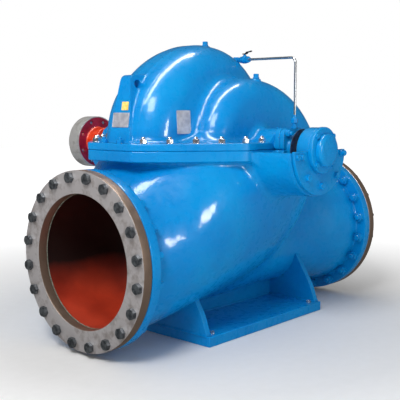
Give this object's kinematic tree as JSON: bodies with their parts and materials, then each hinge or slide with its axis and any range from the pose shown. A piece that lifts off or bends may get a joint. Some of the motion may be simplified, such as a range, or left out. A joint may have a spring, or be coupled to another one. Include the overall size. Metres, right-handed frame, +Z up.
{
  "type": "horizontal split-case centrifugal pump",
  "caption": "Large double-suction centrifugal pump with a horizontally split cast casing, in-line flanged nozzles, bearing brackets, flush lines and a plate pedestal.",
  "frame": {"origin": "on the ground under the shaft's axis, in the middle between the two bearings and under the pedestal", "axes": "+X from the suction flange to the discharge flange, +Y along the shaft towards the coupling, +Z up"},
  "size_m": [1.5202, 1.388, 1.1823],
  "materials": {
    "blue_enamel_paint": "glossy brushed-on bright blue enamel over cast iron",
    "machined_steel": "turned steel, dull from storage",
    "maroon_paint": "maroon paint on a turned cast iron coupling",
    "black_plastic": "dipped plastic grip on a steel lever",
    "black_rubber": "moulded rubber",
    "gasket_fibre": "grey fibre sheet",
    "plate_aluminium": "bare sheet without lettering"
  },
  "bodies": {
    "pump_frame": {"lower_casing": "blue_enamel_paint", "upper_casing": "blue_enamel_paint", "pedestal_plate": "blue_enamel_paint", "pedestal_wall_suction": "blue_enamel_paint", "pedestal_wall_discharge": "blue_enamel_paint", "pedestal_web": "blue_enamel_paint", "suction_gasket": "gasket_fibre", "discharge_gasket": "gasket_fibre", "suction_companion_flange": "machined_steel", "discharge_companion_flange": "machined_steel", "bearing_housing_non_drive_end": "blue_enamel_paint", "bearing_housing_drive_end": "blue_enamel_paint", "bearing_cover_non_drive_end": "blue_enamel_paint", "bearing_cover_drive_end": "blue_enamel_paint", "bearing_end_cap": "blue_enamel_paint", "gland_non_drive_end": "blue_enamel_paint", "gland_drive_end": "blue_enamel_paint", "flush_socket_non_drive_end": "blue_enamel_paint", "flush_socket_drive_end": "blue_enamel_paint", "flush_valve_non_drive_end": "blue_enamel_paint", "flush_valve_drive_end": "blue_enamel_paint", "flush_valve_lever_drive_end": "black_plastic", "flush_tube_non_drive_end": "machined_steel", "flush_tube_drive_end": "machined_steel", "flush_fitting_non_drive_end": "blue_enamel_paint", "flush_fitting_drive_end": "blue_enamel_paint", "bearing_plug_non_drive_end": "blue_enamel_paint", "bearing_plug_drive_end": "blue_enamel_paint", "dome_plug_non_drive_end": "blue_enamel_paint", "dome_plug_drive_end": "blue_enamel_paint", "vent_plug": "blue_enamel_paint", "rating_plate": "plate_aluminium", "direction_plate": "plate_aluminium"},
    "rotor": {"shaft": "machined_steel", "shaft_key": "machined_steel", "coupling_half": "maroon_paint", "water_thrower_non_drive_end": "black_rubber", "water_thrower_drive_end": "black_rubber"},
    "valve_lever": {"flush_valve_lever_non_drive_end": "black_plastic"}
  },
  "joints": [
    {"name": "rotor_spin", "type": "hinge", "parent": "pump_frame", "child": "rotor", "pos_m": [0, 0, 0.75], "axis": [0, 1, 0], "continuous": true},
    {"name": "valve_turn", "type": "hinge", "parent": "pump_frame", "child": "valve_lever", "pos_m": [0.12989, -0.09796, 1.13301], "axis": [0, 0, 1], "range_deg": [0, 90]}
  ]
}
